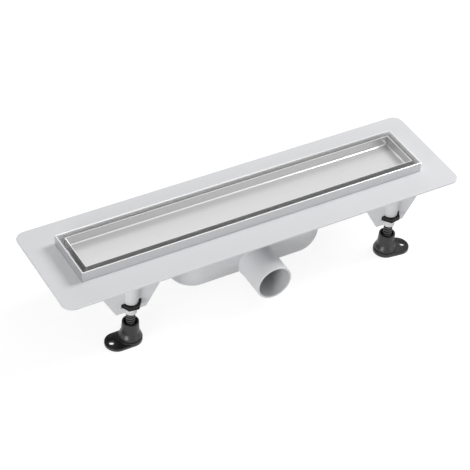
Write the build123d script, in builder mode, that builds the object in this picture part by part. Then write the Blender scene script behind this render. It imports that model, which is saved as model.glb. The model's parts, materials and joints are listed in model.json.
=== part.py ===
"""Linear shower drain: a moulded channel with a tile tray, a trap, an outlet spigot and levelling feet.

Millimetres. +X runs along the channel, -Y is the outlet side, +Z is up.
Each piece is drawn about the channel's own middle, and save() then shifts it along Y, so that
the origin is on the floor under the middle of the whole drain, spigot included.
"""
import os
from math import cos, pi, radians, sin

from build123d import *

os.makedirs("parts", exist_ok=True)

# Bonding flange and moulded walls of the channel
FLANGE_TOP = 102.0
FLANGE_LENGTH = 580.0
FLANGE_WIDTH = 155.0
FLANGE_THICKNESS = 2.5
FLANGE_CORNER = 14.0
FLANGE_EDGE = 0.8
WALL = 2.5
SEAT_CLEARANCE = 0.2

# Steel frame that stands in the channel and rises above the flange
FRAME_LENGTH = 500.0
FRAME_WIDTH = 78.0
FRAME_WALL = 1.5
FRAME_RISE = 14.5
FRAME_SEAT_DEPTH = 10.0
FRAME_LEDGE = 2.6

# Channel floor under the tray, falling from both ends to the trap
FLOOR_END_DEPTH = 14.0
FLOOR_MIDDLE_DEPTH = 18.0

# Folded steel tray that takes the tile
TRAY_SLOT = 7.5
TRAY_DEPTH = 14.6
TRAY_SHEET = 1.2
TRAY_BEND = 3.2
TRAY_SET_DOWN = 0.3
TRAY_SEAM = 0.25

# Studs that carry the tray on bosses of the channel floor
STUD_END_INSET = 41.0
STUD_SIDE_INSET = 12.0
STUD_PAD_RADIUS = 8.0
STUD_PAD_HEIGHT = 3.0
STUD_STEM_RADIUS = 5.0
BOSS_RADIUS = 10.0
BOSS_DEPTH = 12.0

# Trap housing, a round-ended tub hung under the channel
HOUSING_LENGTH = 226.0
HOUSING_WIDTH = 78.0
HOUSING_BOTTOM = 8.0
HOUSING_FLAT = 3.0
LIP_WIDTH = 10.0
LIP_THICKNESS = 3.5
GASKET_THICKNESS = 1.5
GASKET_MARGIN = 1.0

# Screws that hold the housing lip to the channel
SCREW_RADIUS = 2.0
SCREW_CLEARANCE = 0.05
SCREW_LENGTH = 14.0
SCREW_HEAD_RADIUS = 3.6
SCREW_HEAD_HEIGHT = 2.4
SCREW_SLOT_WIDTH = 1.0
SCREW_SLOT_DEPTH = 1.0
SCREW_BOSS_RADIUS = 4.5
SCREW_INNER_X = 30.0
SCREW_OUTER_X = 74.0

# Outlet spigot for a 50 mm waste pipe
OUTLET_HEIGHT = 40.5
OUTLET_RADIUS = 25.0
OUTLET_BORE_RADIUS = 22.5
OUTLET_REACH = 88.0
OUTLET_EDGE = 0.8
OUTLET_CLEARANCE = 0.05
STOP_RADIUS = 25.5
STOP_THICKNESS = 2.5

# Trap that lifts out of a dish in the channel floor
DISH_DEPTH = 5.0
DISH_RADIUS = 32.0
DRAIN_HOLE_RADIUS = 26.5
SEAL_THICKNESS = 1.5
SEAL_RADIUS = 30.5
TRAP_FLANGE_RADIUS = 31.5
TRAP_FLANGE_THICKNESS = 3.0
TRAP_WALL = 1.8
TRAP_CLEARANCE = 0.3
DIP_RADIUS = 17.0
FUNNEL_HEIGHT = 9.0
CUP_RADIUS = 25.0
CUP_RIM_HEIGHT = 54.0
CUP_GROUND = 22.0
CUP_ROUND = 6.0
SEAL_WATER_DEPTH = 24.0
HANGER_COUNT = 3
HANGER_WIDTH = 5.0
HANGER_RING_GAP = 10.0
HANGER_RING_HEIGHT = 6.0
HANGER_RING_WALL = 2.4
HANGER_ROOT = 4.0
RING_CLEARANCE = 0.1
STRAINER_RADIUS = 24.3
STRAINER_THICKNESS = 1.5
STRAINER_LEDGE = 1.2
STRAINER_HOLE_RADIUS = 2.0
STRAINER_HOLE_COUNTS = (6, 12, 18)
STRAINER_RING_RADII = (8.0, 14.0, 20.0)
STRAINER_KNOB_RADIUS = 3.0
STRAINER_KNOB_HEIGHT = 5.0
STRAINER_KNOB_EDGE = 1.0

# Levelling feet, four alike, with their brackets, adjusting nuts and rods
FOOT_END_INSET = 97.0
FOOT_SIDE_INSET = 17.5
BRACKET_DROP = 52.5
BRACKET_THICKNESS = 3.0
BRACKET_TOP_LENGTH = 96.0
BRACKET_BOTTOM_LENGTH = 41.5
BRACKET_PAD_WIDTH = 26.0
BRACKET_PAD_THICKNESS = 2.5
SLEEVE_DROP = 55.0
SLEEVE_RADIUS = 9.3
SLEEVE_END_RADIUS = 7.8
SLEEVE_BORE_RADIUS = 6.4
NUT_DROP = 43.2
NUT_HEIGHT = 6.5
NUT_SIDES = 6
NUT_ACROSS_FLATS = 24.0
NUT_GROOVE = 0.8
NUT_EDGE = 0.5
NUT_PLAY = 0.2
ROD_RADIUS = 6.0
ROD_DROP = 16.0
ROD_EDGE = 1.0
THREAD_CLEARANCE = 0.05
FOOT_PLATE_THICKNESS = 3.5
FOOT_PLATE_RADIUS = 16.0
FOOT_EAR_REACH = 18.5
FOOT_EAR_HOLE_REACH = 26.0
FOOT_EAR_HOLE_RADIUS = 3.5
FOOT_EDGE = 0.6
BELL_HEIGHT = 31.0
BELL_MOUTH_RADIUS = 10.8
BELL_NECK_RADIUS = 11.7
BELL_NECK_HEIGHT = 16.5
BELL_SHOULDER_HEIGHT = 7.0
BELL_BASE_RADIUS = 14.9
RING_HEIGHT = 5.5
RING_LIP = 0.7
RING_GROOVE_DEPTH = 1.0
BELL_BORE_RADIUS = 8.6
SOCKET_FLOOR = 2.5
SOCKET_LIP = 2.0
ROD_HEAD_SIDES = 6
ROD_HEAD_ACROSS_FLATS = 12.5
ROD_HEAD_HEIGHT = 3.6
HEAD_CLEARANCE = 0.1

# Directions that the feet's screw ears point and turns of the nuts, in degrees about the vertical
EAR_LEFT_DEGREES = 180.0
EAR_RIGHT_DEGREES = 0.0
EAR_FRONT_RIGHT_DEGREES = -7.0
NUT_LEFT_DEGREES = -7.0
NUT_RIGHT_DEGREES = 8.0

# Levels, widths and places that follow from the sizes above
CENTRE_Y = (OUTLET_REACH - FLANGE_WIDTH / 2) / 2
FLANGE_UNDERSIDE = FLANGE_TOP - FLANGE_THICKNESS
FRAME_SEAT = FLANGE_TOP - FRAME_SEAT_DEPTH
FLOOR_MIDDLE = FLANGE_TOP - FLOOR_MIDDLE_DEPTH
FLOOR_END = FLANGE_TOP - FLOOR_END_DEPTH
CHANNEL_LENGTH = FRAME_LENGTH - 2 * FRAME_LEDGE
CHANNEL_WIDTH = FRAME_WIDTH - 2 * FRAME_LEDGE
TRAY_LENGTH = FRAME_LENGTH - 2 * (FRAME_WALL + TRAY_SLOT)
TRAY_WIDTH = FRAME_WIDTH - 2 * (FRAME_WALL + TRAY_SLOT)
TRAY_TOP = FLANGE_TOP + FRAME_RISE - TRAY_SET_DOWN
TRAY_UNDERSIDE = TRAY_TOP - TRAY_DEPTH
BOSS_TOP = FLANGE_TOP - BOSS_DEPTH
STUD_X = TRAY_LENGTH / 2 - STUD_END_INSET
STUD_Y = TRAY_WIDTH / 2 - STUD_SIDE_INSET
HOUSING_ROUND = HOUSING_WIDTH / 2 - HOUSING_FLAT
LIP_LENGTH = HOUSING_LENGTH + 2 * LIP_WIDTH
LIP_SPAN = HOUSING_WIDTH + 2 * LIP_WIDTH
CHANNEL_UNDERSIDE = FLOOR_MIDDLE - WALL
LIP_TOP = CHANNEL_UNDERSIDE - GASKET_THICKNESS
LIP_UNDERSIDE = LIP_TOP - LIP_THICKNESS
DISH_FLOOR = FLOOR_MIDDLE - DISH_DEPTH
TRAP_SEAT = DISH_FLOOR + SEAL_THICKNESS
TRAP_TOP = TRAP_SEAT + TRAP_FLANGE_THICKNESS
STRAINER_SEAT = TRAP_TOP - STRAINER_THICKNESS
DIP_BORE_RADIUS = DIP_RADIUS - TRAP_WALL
DIP_END = CUP_RIM_HEIGHT - SEAL_WATER_DEPTH
FUNNEL_END = TRAP_SEAT - FUNNEL_HEIGHT
HANGER_RING_BOTTOM = CUP_RIM_HEIGHT + HANGER_RING_GAP
FOOT_X = FLANGE_LENGTH / 2 - FOOT_END_INSET
FOOT_Y = FLANGE_WIDTH / 2 - FOOT_SIDE_INSET
BRACKET_BOTTOM = FLANGE_TOP - BRACKET_DROP
SLEEVE_END = FLANGE_TOP - SLEEVE_DROP
BRACKET_PAD_UNDERSIDE = FLANGE_UNDERSIDE - BRACKET_PAD_THICKNESS
NUT_BOTTOM = FLANGE_TOP - NUT_DROP
ROD_TOP = FLANGE_TOP - ROD_DROP
SOCKET_TOP = SOCKET_FLOOR + ROD_HEAD_HEIGHT + HEAD_CLEARANCE
BELL_FLOOR = SOCKET_TOP + SOCKET_LIP

# Each foot's rod axis in plan, its ear's direction and its nut's turn
FEET = {
    "front_left": (-FOOT_X, -FOOT_Y, EAR_LEFT_DEGREES, NUT_LEFT_DEGREES),
    "front_right": (FOOT_X, -FOOT_Y, EAR_FRONT_RIGHT_DEGREES, NUT_RIGHT_DEGREES),
    "back_left": (-FOOT_X, FOOT_Y, EAR_LEFT_DEGREES, NUT_LEFT_DEGREES),
    "back_right": (FOOT_X, FOOT_Y, EAR_RIGHT_DEGREES, NUT_RIGHT_DEGREES),
}


def save(part, name):
    """Shift a finished piece from the channel's middle to the model's, label it and write one file."""
    placed = Pos(0, CENTRE_Y, 0) * part
    placed.label = name
    export_step(placed, f"parts/{name}.step")


def level(height, x=0.0, y=0.0, turn=0.0):
    """Level plane at a height, through a point in plan, turned about the vertical."""
    x_dir = (cos(radians(turn)), sin(radians(turn)), 0)
    return Plane(origin=(x, y, height), x_dir=x_dir, z_dir=(0, 0, 1))


def upright(y=0.0, x=0.0, height=0.0):
    """Upright plane facing the outlet side, with its own Y pointing up."""
    return Plane(origin=(x, y, height), x_dir=(1, 0, 0), z_dir=(0, -1, 0))


def screw_places():
    """Plan positions of the lip screws, along both sides outside the channel's walls."""
    side_y = (HOUSING_WIDTH + LIP_WIDTH) / 2
    columns = (-SCREW_OUTER_X, -SCREW_INNER_X, SCREW_INNER_X, SCREW_OUTER_X)
    return [(x, side * side_y) for x in columns for side in (-1, 1)]


def stud_places():
    """Plan positions of the tray studs."""
    return [(x, y) for x in (-STUD_X, STUD_X) for y in (-STUD_Y, STUD_Y)]


def tub(margin, top):
    """Solid tub with round ends and a round bottom, set in by a margin from the housing's outside."""
    with BuildPart() as solid:
        with BuildSketch(level(HOUSING_BOTTOM + margin)):
            SlotOverall(HOUSING_LENGTH - 2 * margin, HOUSING_WIDTH - 2 * margin)
        extrude(amount=top - HOUSING_BOTTOM - margin)
        fillet(solid.faces().sort_by(Axis.Z)[0].edges(), HOUSING_ROUND - margin)
    return solid.part


def falling_floor(length, width, floor_end, floor_middle, top):
    """Block whose underside falls from both ends to a level middle as long as the housing."""
    half = length / 2
    middle = HOUSING_LENGTH / 2
    with BuildPart() as block:
        with BuildSketch(upright(width / 2)):
            with BuildLine():
                Polyline(
                    (-half, top), (-half, floor_end), (-middle, floor_middle),
                    (middle, floor_middle), (half, floor_end), (half, top), close=True,
                )
            make_face()
        extrude(amount=width)
    return block.part


def make_channel_body():
    """Moulded channel: flange, stepped trough, trap dish, stud bosses and the seat for the housing."""
    pocket_length = FRAME_LENGTH + 2 * SEAT_CLEARANCE
    pocket_width = FRAME_WIDTH + 2 * SEAT_CLEARANCE
    step_underside = FRAME_SEAT - WALL
    trough_outside = falling_floor(
        CHANNEL_LENGTH + 2 * WALL, CHANNEL_WIDTH + 2 * WALL,
        FLOOR_END - WALL, CHANNEL_UNDERSIDE, FRAME_SEAT,
    )
    trough_inside = falling_floor(CHANNEL_LENGTH, CHANNEL_WIDTH, FLOOR_END, FLOOR_MIDDLE, FLANGE_TOP)
    with BuildPart() as body:
        with BuildSketch(level(FLANGE_UNDERSIDE)):
            RectangleRounded(FLANGE_LENGTH, FLANGE_WIDTH, FLANGE_CORNER)
        extrude(amount=FLANGE_THICKNESS)
        fillet(body.faces().sort_by(Axis.Z)[-1].edges(), FLANGE_EDGE)
        with BuildSketch(level(step_underside)):
            Rectangle(pocket_length + 2 * WALL, pocket_width + 2 * WALL)
        extrude(amount=FLANGE_UNDERSIDE - step_underside)
        add(trough_outside)
        with BuildSketch(level(CHANNEL_UNDERSIDE)):
            SlotOverall(LIP_LENGTH, LIP_SPAN)
        extrude(amount=WALL)
        with BuildSketch(level(CHANNEL_UNDERSIDE)):
            for x, y in screw_places():
                with Locations((x, y)):
                    Circle(SCREW_BOSS_RADIUS)
                with Locations((x, y / 2)):
                    Rectangle(2 * SCREW_BOSS_RADIUS, abs(y))
        extrude(amount=FRAME_SEAT - CHANNEL_UNDERSIDE)
        with BuildSketch(level(DISH_FLOOR - WALL)):
            Circle(DISH_RADIUS + WALL)
        extrude(amount=FLOOR_MIDDLE - DISH_FLOOR + WALL)
        with BuildSketch(level(FRAME_SEAT)):
            Rectangle(pocket_length, pocket_width)
        extrude(amount=FLANGE_TOP - FRAME_SEAT, mode=Mode.SUBTRACT)
        add(trough_inside, mode=Mode.SUBTRACT)
        with BuildSketch(level(FLOOR_MIDDLE)):
            with Locations(*stud_places()):
                Circle(BOSS_RADIUS)
        extrude(amount=BOSS_TOP - FLOOR_MIDDLE)
        with BuildSketch(level(DISH_FLOOR)):
            Circle(DISH_RADIUS)
        extrude(amount=FLANGE_TOP - DISH_FLOOR, mode=Mode.SUBTRACT)
        with BuildSketch(level(DISH_FLOOR - WALL)):
            Circle(DRAIN_HOLE_RADIUS)
        extrude(amount=WALL, mode=Mode.SUBTRACT)
        with BuildSketch(level(CHANNEL_UNDERSIDE)):
            with Locations(*screw_places()):
                Circle(SCREW_RADIUS + SCREW_CLEARANCE)
        extrude(amount=SCREW_LENGTH - LIP_THICKNESS - GASKET_THICKNESS, mode=Mode.SUBTRACT)
    return body.part


def make_trim_frame():
    """Upright steel strip, closed into a rectangle, that edges the tiles."""
    with BuildPart() as frame:
        with BuildSketch(level(FRAME_SEAT)):
            Rectangle(FRAME_LENGTH, FRAME_WIDTH)
            Rectangle(FRAME_LENGTH - 2 * FRAME_WALL, FRAME_WIDTH - 2 * FRAME_WALL, mode=Mode.SUBTRACT)
        extrude(amount=FRAME_RISE + FRAME_SEAT_DEPTH)
    return frame.part


def make_cover_tray():
    """Tray folded from one sheet, with an open seam on each side of its two end walls."""
    end_width = TRAY_WIDTH - 2 * (TRAY_SHEET + TRAY_SEAM)
    bend_start = TRAY_LENGTH / 2 - TRAY_BEND
    bend_middle = TRAY_LENGTH / 2 - TRAY_BEND / 2
    across = Plane(origin=(-TRAY_LENGTH / 2, 0, TRAY_UNDERSIDE), x_dir=(0, 1, 0), z_dir=(1, 0, 0))
    with BuildPart() as tray:
        with BuildSketch(across) as outside:
            with Locations((0, TRAY_DEPTH / 2)):
                Rectangle(TRAY_WIDTH, TRAY_DEPTH)
            fillet(outside.vertices().group_by(Axis.Y)[0], TRAY_BEND)
        extrude(amount=TRAY_LENGTH)
        with BuildSketch(across) as inside:
            with Locations((0, TRAY_DEPTH / 2 + TRAY_SHEET)):
                Rectangle(TRAY_WIDTH - 2 * TRAY_SHEET, TRAY_DEPTH)
            fillet(inside.vertices().group_by(Axis.Y)[0], TRAY_BEND - TRAY_SHEET)
        extrude(amount=TRAY_LENGTH, mode=Mode.SUBTRACT)
        with BuildSketch(level(TRAY_UNDERSIDE)):
            with Locations((-bend_middle, 0), (bend_middle, 0)):
                Rectangle(TRAY_BEND, TRAY_WIDTH - 2 * TRAY_SHEET)
        extrude(amount=TRAY_BEND, mode=Mode.SUBTRACT)
        with BuildSketch(upright(end_width / 2, 0, TRAY_UNDERSIDE)):
            with BuildLine():
                CenterArc((bend_start, TRAY_BEND), TRAY_BEND, -90, 90)
                Polyline(
                    (TRAY_LENGTH / 2, TRAY_BEND), (TRAY_LENGTH / 2, TRAY_DEPTH),
                    (TRAY_LENGTH / 2 - TRAY_SHEET, TRAY_DEPTH), (TRAY_LENGTH / 2 - TRAY_SHEET, TRAY_BEND),
                )
                CenterArc((bend_start, TRAY_BEND), TRAY_BEND - TRAY_SHEET, 0, -90)
                Line((bend_start, TRAY_SHEET), (bend_start, 0))
            make_face()
            mirror(about=Plane.YZ)
        extrude(amount=end_width)
    return tray.part


def make_tray_stud(place):
    """Moulded stud that stands on a floor boss and carries the tray's underside."""
    x, y = place
    with BuildPart() as stud:
        with BuildSketch(level(BOSS_TOP, x, y)):
            Circle(STUD_STEM_RADIUS)
        extrude(amount=TRAY_UNDERSIDE - BOSS_TOP)
        with BuildSketch(level(BOSS_TOP, x, y), level(TRAY_UNDERSIDE - STUD_PAD_HEIGHT, x, y)):
            Circle(STUD_PAD_RADIUS)
        extrude(amount=STUD_PAD_HEIGHT)
    return stud.part


def make_trap_housing():
    """Tub under the channel that takes the water from the trap to the outlet, with its screw lip."""
    with BuildPart() as housing:
        add(tub(0, LIP_TOP))
        with BuildSketch(level(LIP_UNDERSIDE)):
            SlotOverall(LIP_LENGTH, LIP_SPAN)
        extrude(amount=LIP_THICKNESS)
        add(tub(WALL, LIP_TOP), mode=Mode.SUBTRACT)
        with BuildSketch(upright(height=OUTLET_HEIGHT)):
            Circle(OUTLET_RADIUS + OUTLET_CLEARANCE)
        extrude(amount=HOUSING_WIDTH, mode=Mode.SUBTRACT)
        with BuildSketch(level(LIP_UNDERSIDE)):
            with Locations(*screw_places()):
                Circle(SCREW_RADIUS + SCREW_CLEARANCE)
        extrude(amount=LIP_THICKNESS, mode=Mode.SUBTRACT)
    return housing.part


def make_housing_gasket():
    """Flat rubber ring between the housing lip and the channel."""
    inside_length = HOUSING_LENGTH - 2 * (WALL - GASKET_MARGIN)
    inside_width = HOUSING_WIDTH - 2 * (WALL - GASKET_MARGIN)
    with BuildPart() as gasket:
        with BuildSketch(level(LIP_TOP)):
            SlotOverall(LIP_LENGTH - 2 * GASKET_MARGIN, LIP_SPAN - 2 * GASKET_MARGIN)
            SlotOverall(inside_length, inside_width, mode=Mode.SUBTRACT)
            with Locations(*screw_places()):
                Circle(SCREW_RADIUS + SCREW_CLEARANCE, mode=Mode.SUBTRACT)
        extrude(amount=GASKET_THICKNESS)
    return gasket.part


def make_housing_screws():
    """Pan-head screws that go up through the lip and the gasket into the channel's bosses."""
    head_bottom = LIP_UNDERSIDE - SCREW_HEAD_HEIGHT
    with BuildPart() as screws:
        with BuildSketch(level(LIP_UNDERSIDE)):
            with Locations(*screw_places()):
                Circle(SCREW_RADIUS)
        extrude(amount=SCREW_LENGTH)
        with BuildSketch(level(head_bottom)):
            with Locations(*screw_places()):
                Circle(SCREW_HEAD_RADIUS)
        extrude(amount=SCREW_HEAD_HEIGHT)
        with BuildSketch(level(head_bottom)):
            with Locations(*screw_places()):
                Rectangle(2 * SCREW_HEAD_RADIUS, SCREW_SLOT_WIDTH)
        extrude(amount=SCREW_SLOT_DEPTH, mode=Mode.SUBTRACT)
    return screws.part


def make_outlet_spigot():
    """Straight spigot through the housing's front wall, with a low ring against the wall's outside."""
    with BuildPart() as stop:
        with BuildSketch(upright(height=OUTLET_HEIGHT)):
            Circle(STOP_RADIUS)
        extrude(amount=HOUSING_WIDTH / 2 + STOP_THICKNESS)
        add(tub(0, LIP_UNDERSIDE), mode=Mode.SUBTRACT)
    with BuildPart() as spigot:
        with BuildSketch(upright(height=OUTLET_HEIGHT)):
            Circle(OUTLET_RADIUS)
        extrude(amount=OUTLET_REACH)
        fillet(spigot.faces().sort_by(Axis.Y)[0].edges(), OUTLET_EDGE)
        add(tub(WALL, LIP_UNDERSIDE), mode=Mode.SUBTRACT)
        add(stop.part)
        with BuildSketch(upright(height=OUTLET_HEIGHT)):
            Circle(OUTLET_BORE_RADIUS)
        extrude(amount=OUTLET_REACH, mode=Mode.SUBTRACT)
    return spigot.part


def make_dip_tube():
    """Trap insert: a flange that hangs in the dish, a funnel and a tube that dips into the cup's water."""
    seat_radius = STRAINER_RADIUS + TRAP_CLEARANCE
    funnel_radius = STRAINER_RADIUS - STRAINER_LEDGE
    with BuildPart() as dip_tube:
        with BuildSketch(upright()):
            with BuildLine():
                Polyline(
                    (TRAP_FLANGE_RADIUS, TRAP_SEAT), (TRAP_FLANGE_RADIUS, TRAP_TOP),
                    (seat_radius, TRAP_TOP), (seat_radius, STRAINER_SEAT), (funnel_radius, STRAINER_SEAT),
                    (DIP_BORE_RADIUS, FUNNEL_END), (DIP_BORE_RADIUS, DIP_END), (DIP_RADIUS, DIP_END),
                    (DIP_RADIUS, FUNNEL_END), (funnel_radius + TRAP_WALL, TRAP_SEAT), close=True,
                )
            make_face()
        revolve(axis=Axis.Z)
    return dip_tube.part


def make_trap_cup():
    """Cup that holds the water seal, hung from a ring on the dip tube by three straps."""
    ring_radius = DIP_RADIUS + RING_CLEARANCE
    ring_outside = ring_radius + HANGER_RING_WALL
    strap_radius = CUP_RADIUS - TRAP_WALL / 2
    arm_length = CUP_RADIUS - ring_outside + HANGER_RING_WALL / 2
    with BuildPart() as water:
        with BuildSketch(level(CUP_GROUND + TRAP_WALL)):
            Circle(CUP_RADIUS - TRAP_WALL)
        extrude(amount=CUP_RIM_HEIGHT - CUP_GROUND)
        fillet(water.faces().sort_by(Axis.Z)[0].edges(), CUP_ROUND - TRAP_WALL)
    with BuildPart() as cup:
        with BuildSketch(level(CUP_GROUND)):
            Circle(CUP_RADIUS)
        extrude(amount=CUP_RIM_HEIGHT - CUP_GROUND)
        fillet(cup.faces().sort_by(Axis.Z)[0].edges(), CUP_ROUND)
        add(water.part, mode=Mode.SUBTRACT)
        with BuildSketch(level(CUP_RIM_HEIGHT - HANGER_ROOT)):
            with PolarLocations(strap_radius, HANGER_COUNT):
                Rectangle(TRAP_WALL, HANGER_WIDTH)
        extrude(amount=HANGER_ROOT + HANGER_RING_GAP + HANGER_RING_HEIGHT)
        with BuildSketch(level(HANGER_RING_BOTTOM)):
            with PolarLocations(CUP_RADIUS - arm_length / 2, HANGER_COUNT):
                Rectangle(arm_length, HANGER_WIDTH)
            Circle(ring_outside)
            Circle(ring_radius, mode=Mode.SUBTRACT)
        extrude(amount=HANGER_RING_HEIGHT)
    return cup.part


def make_trap_seal():
    """Flat rubber ring under the dip tube's flange."""
    with BuildPart() as seal:
        with BuildSketch(level(DISH_FLOOR)):
            Circle(SEAL_RADIUS)
            Circle(DRAIN_HOLE_RADIUS, mode=Mode.SUBTRACT)
        extrude(amount=SEAL_THICKNESS)
    return seal.part


def make_hair_strainer():
    """Round plate with rings of holes and a knob to lift it by."""
    with BuildPart() as strainer:
        with BuildSketch(level(STRAINER_SEAT)):
            Circle(STRAINER_RADIUS)
            for count, ring_radius in zip(STRAINER_HOLE_COUNTS, STRAINER_RING_RADII):
                with PolarLocations(ring_radius, count):
                    Circle(STRAINER_HOLE_RADIUS, mode=Mode.SUBTRACT)
        extrude(amount=STRAINER_THICKNESS)
        with BuildSketch(level(TRAP_TOP)):
            Circle(STRAINER_KNOB_RADIUS)
        extrude(amount=STRAINER_KNOB_HEIGHT)
        fillet(strainer.faces().sort_by(Axis.Z)[-1].edges(), STRAINER_KNOB_EDGE)
    return strainer.part


def make_foot_bracket(foot):
    """Hanging plate with a sleeve for the rod and an open slot in which the nut can turn."""
    x, y, _, _ = foot
    half_top = BRACKET_TOP_LENGTH / 2
    half_bottom = BRACKET_BOTTOM_LENGTH / 2
    slot_length = NUT_ACROSS_FLATS / cos(pi / NUT_SIDES) + 2 * NUT_PLAY
    with BuildPart() as bracket:
        with BuildSketch(level(BRACKET_PAD_UNDERSIDE, x, y)):
            Rectangle(BRACKET_TOP_LENGTH, BRACKET_PAD_WIDTH)
        extrude(amount=BRACKET_PAD_THICKNESS)
        with BuildSketch(upright(y + BRACKET_THICKNESS / 2, x)):
            with BuildLine():
                Polyline(
                    (-half_top, BRACKET_PAD_UNDERSIDE), (-half_bottom, BRACKET_BOTTOM),
                    (half_bottom, BRACKET_BOTTOM), (half_top, BRACKET_PAD_UNDERSIDE), close=True,
                )
            make_face()
        extrude(amount=BRACKET_THICKNESS)
        with BuildSketch(level(NUT_BOTTOM, x, y)):
            Circle(SLEEVE_RADIUS)
        extrude(amount=BRACKET_PAD_UNDERSIDE - NUT_BOTTOM)
        with BuildSketch(level(SLEEVE_END, x, y)):
            Circle(SLEEVE_END_RADIUS)
        extrude(amount=NUT_BOTTOM - SLEEVE_END)
        with BuildSketch(level(NUT_BOTTOM - NUT_PLAY, x, y)):
            Rectangle(slot_length, slot_length)
        extrude(amount=NUT_HEIGHT + 2 * NUT_PLAY, mode=Mode.SUBTRACT)
        with BuildSketch(level(SLEEVE_END, x, y)):
            Circle(SLEEVE_BORE_RADIUS)
        extrude(amount=FLANGE_UNDERSIDE - SLEEVE_END, mode=Mode.SUBTRACT)
    return bracket.part


def make_adjusting_nut(foot):
    """Hexagon nut with a groove round its middle, turned in the bracket's slot to set the foot's height."""
    x, y, _, turn = foot
    with BuildPart() as nut:
        with BuildSketch(level(NUT_BOTTOM, x, y, turn)):
            RegularPolygon(NUT_ACROSS_FLATS / 2, NUT_SIDES, major_radius=False)
        extrude(amount=NUT_HEIGHT)
        chamfer(nut.faces().filter_by(Axis.Z).edges(), NUT_EDGE)
        with BuildSketch(level(NUT_BOTTOM + (NUT_HEIGHT - NUT_GROOVE) / 2, x, y, turn)):
            RegularPolygon(NUT_ACROSS_FLATS / 2, NUT_SIDES, major_radius=False)
            RegularPolygon(NUT_ACROSS_FLATS / 2 - NUT_GROOVE, NUT_SIDES, major_radius=False, mode=Mode.SUBTRACT)
        extrude(amount=NUT_GROOVE, mode=Mode.SUBTRACT)
        with BuildSketch(level(NUT_BOTTOM, x, y)):
            Circle(ROD_RADIUS + THREAD_CLEARANCE)
        extrude(amount=NUT_HEIGHT, mode=Mode.SUBTRACT)
    return nut.part


def make_threaded_rod(foot):
    """Levelling rod whose hexagon head is held in the foot's socket, so that it can't turn."""
    x, y, _, _ = foot
    with BuildPart() as rod:
        with BuildSketch(level(SOCKET_FLOOR, x, y)):
            RegularPolygon(ROD_HEAD_ACROSS_FLATS / 2, ROD_HEAD_SIDES, major_radius=False)
        extrude(amount=ROD_HEAD_HEIGHT)
        with BuildSketch(level(SOCKET_FLOOR, x, y)):
            Circle(ROD_RADIUS)
        extrude(amount=ROD_TOP - SOCKET_FLOOR)
        chamfer(rod.faces().sort_by(Axis.Z)[-1].edges(), ROD_EDGE)
    return rod.part


def make_foot_base(foot):
    """Bell-shaped foot, open at the top, in a grooved ring on a plate with one screw ear."""
    x, y, turn, _ = foot
    neck_slope = (BELL_MOUTH_RADIUS - BELL_NECK_RADIUS, BELL_HEIGHT - BELL_NECK_HEIGHT)
    lip_radius = FOOT_PLATE_RADIUS - RING_LIP
    groove_floor = RING_HEIGHT - RING_GROOVE_DEPTH
    with BuildPart() as base:
        with BuildSketch(level(0, x, y, turn)):
            with Locations((FOOT_EAR_REACH / 2, 0)):
                SlotCenterToCenter(FOOT_EAR_REACH, 2 * FOOT_PLATE_RADIUS)
        extrude(amount=FOOT_PLATE_THICKNESS)
        fillet(base.faces().sort_by(Axis.Z)[-1].edges(), FOOT_EDGE)
        with BuildSketch(upright(y, x)):
            with BuildLine():
                Polyline(
                    (BELL_NECK_RADIUS, BELL_NECK_HEIGHT), (BELL_MOUTH_RADIUS, BELL_HEIGHT),
                    (BELL_BORE_RADIUS, BELL_HEIGHT), (BELL_BORE_RADIUS, BELL_FLOOR),
                    (0, BELL_FLOOR), (0, 0), (FOOT_PLATE_RADIUS, 0), (FOOT_PLATE_RADIUS, RING_HEIGHT),
                    (lip_radius, RING_HEIGHT), (lip_radius, groove_floor), (BELL_BASE_RADIUS, groove_floor),
                    (BELL_BASE_RADIUS, BELL_SHOULDER_HEIGHT),
                )
                Spline(
                    (BELL_BASE_RADIUS, BELL_SHOULDER_HEIGHT), (BELL_NECK_RADIUS, BELL_NECK_HEIGHT),
                    tangents=((0, 1), neck_slope),
                )
            make_face()
        revolve(axis=Axis((x, y, 0), (0, 0, 1)))
        with BuildSketch(level(SOCKET_FLOOR, x, y)):
            RegularPolygon(ROD_HEAD_ACROSS_FLATS / 2 + HEAD_CLEARANCE, ROD_HEAD_SIDES, major_radius=False)
        extrude(amount=SOCKET_TOP - SOCKET_FLOOR, mode=Mode.SUBTRACT)
        with BuildSketch(level(SOCKET_TOP, x, y)):
            Circle(ROD_RADIUS + HEAD_CLEARANCE)
        extrude(amount=SOCKET_LIP, mode=Mode.SUBTRACT)
        with BuildSketch(level(0, x, y, turn)):
            with Locations((FOOT_EAR_HOLE_REACH, 0)):
                Circle(FOOT_EAR_HOLE_RADIUS)
        extrude(amount=FOOT_PLATE_THICKNESS, mode=Mode.SUBTRACT)
    return base.part


save(make_channel_body(), "channel_body")
save(make_trim_frame(), "trim_frame")
save(make_cover_tray(), "cover_tray")
for number, place in enumerate(stud_places(), start=1):
    save(make_tray_stud(place), f"tray_stud_{number}")
save(make_trap_housing(), "trap_housing")
save(make_housing_gasket(), "housing_gasket")
save(make_housing_screws(), "housing_screws")
save(make_outlet_spigot(), "outlet_spigot")
save(make_dip_tube(), "dip_tube")
save(make_trap_cup(), "trap_cup")
save(make_trap_seal(), "trap_seal")
save(make_hair_strainer(), "hair_strainer")
for corner, foot in FEET.items():
    save(make_foot_bracket(foot), f"foot_bracket_{corner}")
    save(make_adjusting_nut(foot), f"adjusting_nut_{corner}")
    save(make_threaded_rod(foot), f"threaded_rod_{corner}")
    save(make_foot_base(foot), f"foot_base_{corner}")
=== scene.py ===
"""Looks of the linear shower drain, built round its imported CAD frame. Metres, with lengths written in mm."""

import json
from math import cos, floor, pi, radians, sin

import bmesh
import bpy
from mathutils import Matrix, Vector


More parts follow.
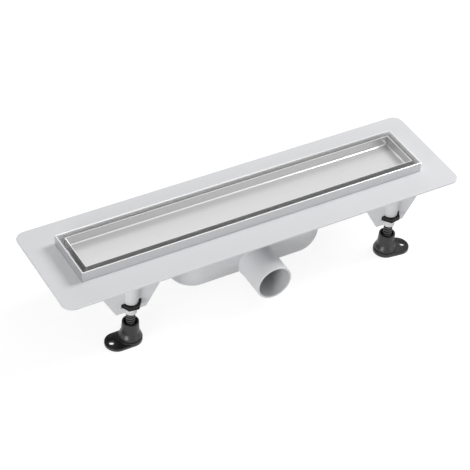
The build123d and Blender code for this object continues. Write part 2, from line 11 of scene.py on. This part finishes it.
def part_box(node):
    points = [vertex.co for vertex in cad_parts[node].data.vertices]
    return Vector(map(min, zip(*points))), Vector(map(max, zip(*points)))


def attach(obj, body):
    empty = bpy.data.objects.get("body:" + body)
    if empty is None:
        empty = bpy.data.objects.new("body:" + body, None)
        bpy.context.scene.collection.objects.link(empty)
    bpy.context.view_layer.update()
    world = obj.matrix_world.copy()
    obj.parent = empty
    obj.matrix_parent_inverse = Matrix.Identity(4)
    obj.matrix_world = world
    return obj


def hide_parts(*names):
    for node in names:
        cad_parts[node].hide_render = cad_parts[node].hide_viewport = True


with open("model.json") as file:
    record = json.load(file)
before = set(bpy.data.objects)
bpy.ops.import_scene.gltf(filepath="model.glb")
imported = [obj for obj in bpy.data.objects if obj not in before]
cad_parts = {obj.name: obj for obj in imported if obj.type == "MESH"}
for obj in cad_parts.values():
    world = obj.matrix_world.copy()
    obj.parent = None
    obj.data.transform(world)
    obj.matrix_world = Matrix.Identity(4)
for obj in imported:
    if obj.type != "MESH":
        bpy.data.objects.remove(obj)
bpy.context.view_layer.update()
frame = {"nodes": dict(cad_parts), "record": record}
NODES = frame["nodes"]
MM = 0.001
CORNERS = ("front_left", "front_right", "back_left", "back_right")

# Camera, solved from the photograph's edges, about the middle of the flange's top face
PHOTO_SIDE = 470
FOCAL_PIXELS = 1772.34
SENSOR_WIDTH = 36.0
CAMERA_AZIMUTH = -0.571235
CAMERA_ELEVATION = 0.717402
CAMERA_DISTANCE = 2288.62 * MM
CAMERA_RIGHT = -8.15 * MM
CAMERA_UP = -37.8 * MM
CAMERA_ROLL = 0.081348
AIM = Vector((0.0, 5.25 * MM, 102.0 * MM))

# Square lamps, all aimed at the drain
LAMPS = {
    "key": {"place": Vector((3.2, 0.1, 2.6)), "size": 1.5, "power": 121.0},
    "top": {"place": Vector((0.1, -0.5, 1.7)), "size": 1.6, "power": 2.5},
    "front": {"place": Vector((-2.4, -1.35, 0.45)), "size": 1.0, "power": 37.0},
    "glint": {"place": Vector((0.95, -1.3, 1.35)), "size": 0.5, "power": 0.65},
    "side": {"place": Vector((1.6, -2.3, 0.35)), "size": 1.0, "power": 6.0},
    "back": {"place": Vector((0.8, 2.6, 0.55)), "size": 1.4, "power": 14.0},
}
WORLD_STRENGTH = 0.405
WORLD_SEEN_STRENGTH = 1.0

# Floor, whose seen colour keeps the shadow faint under its own white glow
FLOOR_SIZE = 14.0
FLOOR_COLOUR = (0.60, 0.60, 0.60, 1.0)
FLOOR_SEEN_COLOUR = (0.26, 0.26, 0.26, 1.0)
FLOOR_GLOW = 0.84
FLOOR_DROP = 0.1 * MM

# Colours, linear
SKY_WHITE = (1.0, 1.0, 1.0, 1.0)
LIGHT_GREY = (0.665, 0.67, 0.685, 1.0)
# Darker grey painted inside the spigot as shade
SHADED_BORE_GREY = (0.50, 0.505, 0.515, 1.0)
STEEL = (0.68, 0.68, 0.68, 1.0)
RIM_COLOUR = (0.62, 0.62, 0.63, 1.0)
# Lighter steel painted on the frame's top edge as a highlight
HIGHLIGHT_STEEL_COLOUR = (0.79, 0.79, 0.79, 1.0)
# Darker steel painted on the tray's upright walls as shade
SHADED_WALL_COLOUR = (0.54, 0.54, 0.54, 1.0)
# Lighter steel painted on the frame's inner walls as light
LIT_INNER_COLOUR = (0.90, 0.90, 0.90, 1.0)
BLACK = (0.016, 0.016, 0.017, 1.0)
# Deep black of the nuts and rods; also painted on the feet's flat tops as shade
DEEP_BLACK = (0.004, 0.004, 0.004, 1.0)
# Grey painted on the thread crests as a highlight
CREST_HIGHLIGHT_GREY = (0.13, 0.13, 0.135, 1.0)
WHITE = (0.80, 0.80, 0.78, 1.0)
RUBBER = (0.018, 0.018, 0.018, 1.0)

# Textures: the part of a noise that is used, then the grain of mouldings, then the strokes of brushed steel
NOISE_LOW = 0.3
NOISE_HIGH = 0.7
NOISE_ROUGHNESS = 0.55
EVEN_SCALE = (1.0, 1.0, 1.0)
CLOUD_SCALE = 14.0
GRAIN_SCALE = 2600.0
MOULD_DETAIL = 2.0
SHEEN_SPREAD = 0.05
GRAIN_DEPTH = 0.1 * MM
PLASTIC_IOR = 1.5
BRUSH_ALONG = 9.0
BRUSH_ACROSS = 1900.0
BRUSH_DETAIL = 4.0
BRUSH_ROUGHNESS = 0.65
BRUSH_TONE = 0.05
BRUSH_GLOSSIER = 0.07
BRUSH_DULLER = 0.09
BRUSH_BUMP = 0.10
BRUSH_DEPTH = 0.02 * MM
END_FACING = 0.75

# Threaded rods
THREAD_PITCH = 4.0 * MM
THREAD_FLAT = 0.14
THREAD_LEVELS = 12
THREAD_STEPS = 40
THREAD_SMOOTH = radians(35.0)
ROD_CREST = 6.0 * MM
ROD_ROOT = 4.9 * MM
ROD_END = 5.0 * MM
CREST_BAND = 0.25 * MM
ROD_HEAD_HEIGHT = 3.6 * MM
ROD_HEAD_CORNERS = 7.2 * MM
ROD_HEAD_SIDES = 6

# Edges of the drawn pieces
EDGE_ANGLE = radians(28.0)
SOFT_ANGLE = radians(40.0)
SOFT_STEPS = 2
ROUND_PROFILE = 0.5
WELD_DISTANCE = 0.002 * MM
FLAT_ANGLE = radians(0.4)
FLAT_AREA = 500.0 * MM * MM

# Faces painted with light or shade: where they lie, and how far they lean
RIM_BAND = 0.6 * MM
RIM_LEAN = 0.35
INNER_LEAN = 0.35
WALL_LEAN = 0.3
END_LEAN = 0.5
BORE_LEAN = 0.35
PLATE_TOP = 4.0 * MM
PLATE_LEAN = 0.9
CREST_LEAN = 0.7


class Nodes:
    """Short way to add and link the nodes of one tree."""

    def __init__(self, tree):
        self.tree = tree

    def add(self, kind, **settings):
        node = self.tree.nodes.new(kind)
        for key, value in settings.items():
            setattr(node, key, value)
        return node

    def link(self, source, out, target, into):
        self.tree.links.new(source.outputs[out], target.inputs[into])

    def seen(self):
        """Value of 1 where the camera, a reflection or a see-through part looks, and 0 elsewhere."""
        path = self.add("ShaderNodeLightPath")
        either = self.add("ShaderNodeMath", operation="MAXIMUM")
        any_of = self.add("ShaderNodeMath", operation="MAXIMUM")
        self.link(path, "Is Camera Ray", either, 0)
        self.link(path, "Is Glossy Ray", either, 1)
        self.link(either, "Value", any_of, 0)
        self.link(path, "Is Transmission Ray", any_of, 1)
        return any_of


class Finish(Nodes):
    """Nodes of a material with one Principled shader, and the ways to texture it."""

    def __init__(self, name):
        self.material = empty_material(name)
        super().__init__(self.material.node_tree)
        self.shader = self.add("ShaderNodeBsdfPrincipled")
        self.link(self.shader, "BSDF", self.add("ShaderNodeOutputMaterial"), "Surface")

    def coordinates(self, scale):
        """Object coordinates, stretched by a scale along each axis."""
        texture = self.add("ShaderNodeTexCoord")
        mapping = self.add("ShaderNodeMapping")
        mapping.inputs["Scale"].default_value = scale
        self.link(texture, "Object", mapping, "Vector")
        return mapping

    def noise(self, mapping, scale, detail, roughness=NOISE_ROUGHNESS):
        node = self.add("ShaderNodeTexNoise")
        node.inputs["Scale"].default_value = scale
        node.inputs["Detail"].default_value = detail
        node.inputs["Roughness"].default_value = roughness
        self.link(mapping, "Vector", node, "Vector")
        return node

    def roughen(self, source, out, low, high):
        """Roughness between low and high, following a texture."""
        node = self.add("ShaderNodeMapRange")
        node.inputs["From Min"].default_value = NOISE_LOW
        node.inputs["From Max"].default_value = NOISE_HIGH
        node.inputs["To Min"].default_value = low
        node.inputs["To Max"].default_value = high
        self.link(source, out, node, "Value")
        self.link(node, "Result", self.shader, "Roughness")

    def tint(self, source, out, colour, share):
        """Colour that a texture darkens and lightens by a share."""
        node = self.add("ShaderNodeMix", data_type="RGBA")
        node.inputs["A"].default_value = tuple(c * (1 - share) for c in colour[:3]) + (1.0,)
        node.inputs["B"].default_value = tuple(min(1.0, c * (1 + share)) for c in colour[:3]) + (1.0,)
        self.link(source, out, node, "Factor")
        self.link(node, "Result", self.shader, "Base Color")

    def bump(self, source, out, strength, distance):
        node = self.add("ShaderNodeBump")
        node.inputs["Strength"].default_value = strength
        node.inputs["Distance"].default_value = distance
        self.link(source, out, node, "Height")
        self.link(node, "Normal", self.shader, "Normal")


def empty_material(name):
    """New material with a node tree and nothing in it."""
    material = bpy.data.materials.new(name)
    material.use_nodes = True
    material.node_tree.nodes.clear()
    return material


def moulded(name, colour, roughness, grain=0.02, share=0.012, specular=0.5):
    """Moulded plastic: a very fine spark-eroded grain, slow unevenness in tone, satin sheen."""
    made = Finish(name)
    plain = made.coordinates(EVEN_SCALE)
    cloudy = made.noise(plain, CLOUD_SCALE, MOULD_DETAIL)
    fine = made.noise(plain, GRAIN_SCALE, MOULD_DETAIL)
    made.tint(cloudy, "Fac", colour, share)
    made.roughen(fine, "Fac", roughness - SHEEN_SPREAD, roughness + SHEEN_SPREAD)
    made.bump(fine, "Fac", grain, GRAIN_DEPTH)
    made.shader.inputs["IOR"].default_value = PLASTIC_IOR
    made.shader.inputs["Specular IOR Level"].default_value = specular
    return made.material


def brushed(name, colour, roughness, end_grain, depth=1.0):
    """Brushed sheet: fine scratches along X, and on the faces that look along X, along end_grain."""
    made = Finish(name)
    along, across = BRUSH_ALONG, BRUSH_ACROSS
    long_scale = (along, across, across)
    end_scale = (across, along, across) if end_grain == "Y" else (across, across, along)
    long_grain = made.noise(made.coordinates(long_scale), 1.0, BRUSH_DETAIL, BRUSH_ROUGHNESS)
    short_grain = made.noise(made.coordinates(end_scale), 1.0, BRUSH_DETAIL, BRUSH_ROUGHNESS)
    geometry = made.add("ShaderNodeNewGeometry")
    parts = made.add("ShaderNodeSeparateXYZ")
    made.link(geometry, "True Normal", parts, "Vector")
    size = made.add("ShaderNodeMath", operation="ABSOLUTE")
    made.link(parts, "X", size, 0)
    facing = made.add("ShaderNodeMath", operation="GREATER_THAN")
    facing.inputs[1].default_value = END_FACING
    made.link(size, "Value", facing, 0)
    grain = made.add("ShaderNodeMix", data_type="FLOAT")
    made.link(facing, "Value", grain, "Factor")
    made.link(long_grain, "Fac", grain, "A")
    made.link(short_grain, "Fac", grain, "B")
    made.tint(grain, "Result", colour, BRUSH_TONE * depth)
    made.roughen(grain, "Result", roughness - BRUSH_GLOSSIER * depth, roughness + BRUSH_DULLER * depth)
    made.bump(grain, "Result", BRUSH_BUMP * depth, BRUSH_DEPTH)
    made.shader.inputs["Metallic"].default_value = 1.0
    return made.material


PLASTIC = moulded("light_grey_moulding", LIGHT_GREY, roughness=0.48)
# Darker copy of the grey moulding, painted inside the spigot as shade
SHADED_BORE_PLASTIC = moulded("spigot_inside_painted_shade", SHADED_BORE_GREY, roughness=0.55)
SATIN_BLACK = moulded("black_moulding", BLACK, roughness=0.36, grain=0.05, share=0.10)
# Deep black moulding of the nuts and rods, also painted on the feet's flat tops as shade
DEEP_BLACK_AND_SHADE = moulded(
    "deep_black_and_painted_shade_moulding", DEEP_BLACK, roughness=0.50, grain=0.2, share=0.3, specular=0.28,
)
# Grey moulding painted on the thread crests as a highlight
CREST_HIGHLIGHT_PLASTIC = moulded("crest_painted_highlight", CREST_HIGHLIGHT_GREY, roughness=0.30, grain=0.05, share=0.10)
PLAIN_WHITE = moulded("white_moulding", WHITE, roughness=0.42)
SEAL = moulded("seal_rubber", RUBBER, roughness=0.62, grain=0.06, share=0.10)
RIM_STEEL = brushed("brushed_rim", RIM_COLOUR, roughness=0.45, end_grain="Y")
TRAY_STEEL = brushed("brushed_tray", STEEL, roughness=0.30, end_grain="Z", depth=0.4)
SCREW_STEEL = brushed("screw_steel", STEEL, roughness=0.34, end_grain="Z")
# Lighter copy of the rim steel, painted on the frame's top edge as a highlight
HIGHLIGHT_EDGE_STEEL = brushed("steel_edge_painted_highlight", HIGHLIGHT_STEEL_COLOUR, roughness=0.28, end_grain="Y", depth=0.3)
# Darker copy of the tray steel, painted on the tray's upright walls as shade
SHADED_WALL_STEEL = brushed("painted_shade_on_tray_sides", SHADED_WALL_COLOUR, roughness=0.34, end_grain="Z", depth=0.6)
# Lighter copy of the rim steel with a duller roughness, painted on the frame's inner walls as light
LIT_INNER_STEEL = brushed("painted_light_inner_rim", LIT_INNER_COLOUR, roughness=0.70, end_grain="Y", depth=0.3)

# Material of each slot, for the CAD nodes that show as they are
SLOT_MATERIALS = {
    "light_grey_plastic": PLASTIC,
    "black_plastic": SATIN_BLACK,
    "white_plastic": PLAIN_WHITE,
    "seal_rubber": SEAL,
    "screw_steel": SCREW_STEEL,
    "brushed_steel": TRAY_STEEL,
}

# Material and edge radius in mm of each node that gets softened edges
SOFTENED = {
    "trim_frame": (RIM_STEEL, 0.30),
    "cover_tray": (TRAY_STEEL, 0.22),
    "channel_body": (PLASTIC, 0.35),
    "trap_housing": (PLASTIC, 0.35),
    "outlet_spigot": (PLASTIC, 0.30),
    "hair_strainer": (PLAIN_WHITE, 0.20),
    "dip_tube": (PLAIN_WHITE, 0.25),
    "trap_cup": (PLAIN_WHITE, 0.25),
}
for corner in CORNERS:
    SOFTENED[f"foot_bracket_{corner}"] = (PLASTIC, 0.35)
    SOFTENED[f"adjusting_nut_{corner}"] = (DEEP_BLACK_AND_SHADE, 0.20)
    SOFTENED[f"foot_base_{corner}"] = (SATIN_BLACK, 0.25)


def body_holding(node):
    """Name of the body that carries a CAD node."""
    bodies = frame["record"]["behaviour"]["bodies"]
    return next(body for body, members in bodies.items() if node in members)


def middle_of(node):
    """Middle of a CAD node's box."""
    low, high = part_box(node)
    return (low + high) / 2


def from_bmesh(drawn, name, material, smooth_angle=EDGE_ANGLE):
    """Turn a bmesh into a piece, with its large faces flat and its edges over smooth_angle kept sharp."""
    for face in drawn.faces:
        face.smooth = face.calc_area() < FLAT_AREA
    for edge in drawn.edges:
        edge.smooth = len(edge.link_faces) == 2 and edge.calc_face_angle(pi) < smooth_angle
    mesh = bpy.data.meshes.new(name)
    drawn.to_mesh(mesh)
    drawn.free()
    mesh.materials.append(material)
    piece = bpy.data.objects.new(name, mesh)
    bpy.context.scene.collection.objects.link(piece)
    return piece


def stand_for(piece, node):
    """Let a piece replace a CAD node and ride on its body."""
    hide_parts(node)
    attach(piece, body_holding(node))


def paint(piece, material, chosen):
    """Give the chosen faces of a piece another material, where they don't have one yet; here it paints light
    and shade.
    """
    mesh = piece.data
    index = len(mesh.materials)
    mesh.materials.append(material)
    for face in mesh.polygons:
        if face.material_index == 0 and chosen(face):
            face.material_index = index


def softened(node, material, width):
    """Copy of a CAD node with its sharp edges rounded by a small radius, standing for that node."""
    drawn = bmesh.new()
    drawn.from_mesh(NODES[node].data)
    bmesh.ops.remove_doubles(drawn, verts=drawn.verts, dist=WELD_DISTANCE)
    bmesh.ops.dissolve_limit(drawn, angle_limit=FLAT_ANGLE, verts=drawn.verts, edges=drawn.edges)
    sharp = [e for e in drawn.edges if len(e.link_faces) == 2 and e.calc_face_angle(0.0) > EDGE_ANGLE]
    bmesh.ops.bevel(
        drawn, geom=sharp, offset=width, offset_type="OFFSET", segments=SOFT_STEPS,
        profile=ROUND_PROFILE, affect="EDGES", clamp_overlap=True,
    )
    piece = from_bmesh(drawn, f"{node}_finished", material, SOFT_ANGLE)
    stand_for(piece, node)
    return piece


def thread_radius(turns):
    """Radius of the rod's thread at a height counted in turns from the middle of a groove."""
    from_groove = abs(turns - floor(turns + 0.5))
    rise = (from_groove - THREAD_FLAT) / (0.5 - 2 * THREAD_FLAT)
    return ROD_ROOT + (ROD_CREST - ROD_ROOT) * min(1.0, max(0.0, rise))


def threaded_rod(corner):
    """Rod with its real right-hand thread and its hexagon head, standing for the plain CAD rod."""
    node = f"threaded_rod_{corner}"
    low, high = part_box(node)
    axis = middle_of(node)
    start = low.z + ROD_HEAD_HEIGHT
    levels = round((high.z - start) / THREAD_PITCH) * THREAD_LEVELS
    drawn = bmesh.new()
    rings = []
    for level in range(levels + 1):
        z = start + (high.z - start) * level / levels
        ring = []
        for step in range(THREAD_STEPS):
            angle = 2 * pi * step / THREAD_STEPS
            turns = (z - start) / THREAD_PITCH - step / THREAD_STEPS
            radius = min(thread_radius(turns), ROD_END + high.z - z)
            ring.append(drawn.verts.new((axis.x + radius * cos(angle), axis.y + radius * sin(angle), z)))
        rings.append(ring)
    for lower, upper in zip(rings, rings[1:]):
        for step in range(THREAD_STEPS):
            after = (step + 1) % THREAD_STEPS
            drawn.faces.new((lower[step], lower[after], upper[after], upper[step]))
    drawn.faces.new(rings[-1])
    drawn.faces.new(rings[0][::-1])
    head = Matrix.Translation((axis.x, axis.y, low.z + ROD_HEAD_HEIGHT / 2))
    bmesh.ops.create_cone(
        drawn, cap_ends=True, segments=ROD_HEAD_SIDES, radius1=ROD_HEAD_CORNERS, radius2=ROD_HEAD_CORNERS,
        depth=ROD_HEAD_HEIGHT, matrix=head @ Matrix.Rotation(pi / ROD_HEAD_SIDES, 4, "Z"),
    )
    piece = from_bmesh(drawn, f"{node}_thread", DEEP_BLACK_AND_SHADE, THREAD_SMOOTH)
    points = piece.data.vertices

    # Crest faces of the thread, painted lighter as a highlight
    def highlit_crest(face):
        places = [points[number].co for number in face.vertices]
        radii = [Vector((place.x - axis.x, place.y - axis.y)).length for place in places]
        near = min(radii) > ROD_CREST - CREST_BAND and max(radii) < ROD_CREST + CREST_BAND
        return near and abs(face.normal.z) < CREST_LEAN

    paint(piece, CREST_HIGHLIGHT_PLASTIC, highlit_crest)
    stand_for(piece, node)


def paint_details(pieces):
    """Painted light and shade on some faces of the finished pieces: a painted highlight on the frame's top
    edge, painted light on its inner walls, and painted shade on the tray's upright walls, inside the spigot
    and on the feet's flat tops.
    """
    rim_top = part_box("trim_frame")[1].z
    rim_middle = middle_of("trim_frame")
    tray_middle = middle_of("cover_tray")
    spigot_middle = middle_of("outlet_spigot")

    def inward(face, middle):
        return face.normal.dot(middle - face.center) > 0

    # Top band of the frame, painted lighter as a highlight
    def highlit_top_edge(face):
        return face.normal.z > RIM_LEAN and face.center.z > rim_top - RIM_BAND

    # Inner walls of the frame, painted lighter as light
    def painted_light_inner_rim(face):
        return inward(face, rim_middle) and abs(face.normal.z) < INNER_LEAN

    # Upright walls of the tray, painted darker as shade
    def shaded_tray_wall(face):
        upright = abs(face.normal.z) < WALL_LEAN
        return upright and (inward(face, tray_middle) or face.normal.x < -END_LEAN)

    # Faces inside the spigot, painted darker as shade
    def shaded_bore(face):
        aside = spigot_middle - face.center
        towards_axis = face.normal.x * aside.x + face.normal.z * aside.z > 0
        return inward(face, spigot_middle) and abs(face.normal.y) < BORE_LEAN and towards_axis

    # Flat upward tops of the feet, painted deep black as shade
    def shaded_plate_top(face):
        return face.center.z < PLATE_TOP and face.normal.z > PLATE_LEAN

    paint(pieces["trim_frame"], HIGHLIGHT_EDGE_STEEL, highlit_top_edge)
    paint(pieces["trim_frame"], LIT_INNER_STEEL, painted_light_inner_rim)
    paint(pieces["cover_tray"], SHADED_WALL_STEEL, shaded_tray_wall)
    paint(pieces["outlet_spigot"], SHADED_BORE_PLASTIC, shaded_bore)
    for corner in CORNERS:
        paint(pieces[f"foot_base_{corner}"], DEEP_BLACK_AND_SHADE, shaded_plate_top)


def dress(node, material):
    """Give a CAD node its material."""
    slots = NODES[node].data.materials
    slots.clear()
    slots.append(material)


def make_floor():
    """Pale floor that keeps the shadow, and is white where the camera or a reflection sees it."""
    material = empty_material("floor")
    made = Nodes(material.node_tree)
    seen = made.seen()
    colour = made.add("ShaderNodeMix", data_type="RGBA")
    colour.inputs["A"].default_value = FLOOR_COLOUR
    colour.inputs["B"].default_value = FLOOR_SEEN_COLOUR
    diffuse = made.add("ShaderNodeBsdfDiffuse")
    strength = made.add("ShaderNodeMath", operation="MULTIPLY")
    strength.inputs[1].default_value = FLOOR_GLOW
    glow = made.add("ShaderNodeEmission")
    total = made.add("ShaderNodeAddShader")
    made.link(seen, "Value", colour, "Factor")
    made.link(colour, "Result", diffuse, "Color")
    made.link(seen, "Value", strength, 0)
    made.link(strength, "Value", glow, "Strength")
    made.link(diffuse, "BSDF", total, 0)
    made.link(glow, "Emission", total, 1)
    made.link(total, "Shader", made.add("ShaderNodeOutputMaterial"), "Surface")
    drawn = bmesh.new()
    bmesh.ops.create_grid(drawn, x_segments=1, y_segments=1, size=FLOOR_SIZE / 2)
    ground = from_bmesh(drawn, "floor", material)
    ground.location.z = -FLOOR_DROP


def make_world():
    """Even studio light from all round, white where the camera or a reflection sees it."""
    world = bpy.data.worlds.new("studio")
    bpy.context.scene.world = world
    world.use_nodes = True
    made = Nodes(world.node_tree)
    strength = made.add("ShaderNodeMix", data_type="FLOAT")
    strength.inputs["A"].default_value = WORLD_STRENGTH
    strength.inputs["B"].default_value = WORLD_SEEN_STRENGTH
    made.link(made.seen(), "Value", strength, "Factor")
    background = world.node_tree.nodes["Background"]
    background.inputs["Color"].default_value = SKY_WHITE
    made.link(strength, "Result", background, "Strength")


def make_lamp(name, place, size, power):
    """Square area lamp aimed at the drain."""
    data = bpy.data.lights.new(name, "AREA")
    data.size = size
    data.energy = power
    lamp = bpy.data.objects.new(name, data)
    lamp.location = place
    lamp.rotation_euler = (AIM - place).to_track_quat("-Z", "Y").to_euler()
    bpy.context.scene.collection.objects.link(lamp)


def make_camera():
    """Camera at the photograph's place, with its roll and field of view."""
    back = Vector((
        sin(CAMERA_AZIMUTH) * cos(CAMERA_ELEVATION),
        -cos(CAMERA_AZIMUTH) * cos(CAMERA_ELEVATION),
        sin(CAMERA_ELEVATION),
    ))
    level = (-back).cross(Vector((0, 0, 1))).normalized()
    upward = level.cross(-back)
    right = level * cos(CAMERA_ROLL) + upward * sin(CAMERA_ROLL)
    up = upward * cos(CAMERA_ROLL) - level * sin(CAMERA_ROLL)
    place = AIM + back * CAMERA_DISTANCE + level * CAMERA_RIGHT + upward * CAMERA_UP
    data = bpy.data.cameras.new("camera")
    data.sensor_width = SENSOR_WIDTH
    data.lens = FOCAL_PIXELS * SENSOR_WIDTH / PHOTO_SIDE
    camera = bpy.data.objects.new("camera", data)
    turn = Matrix((right, up, back)).transposed().to_4x4()
    camera.matrix_world = Matrix.Translation(place) @ turn
    bpy.context.scene.collection.objects.link(camera)
    bpy.context.scene.camera = camera


finished = {node: softened(node, material, width * MM) for node, (material, width) in SOFTENED.items()}
for corner in CORNERS:
    threaded_rod(corner)
paint_details(finished)
for entry in frame["record"]["subparts"]:
    dress(entry["node"], SLOT_MATERIALS[entry["material_slot"]])
make_world()
make_floor()
for name, lamp in LAMPS.items():
    make_lamp(name, **lamp)
make_camera()
bpy.context.scene.view_settings.view_transform = "Standard"
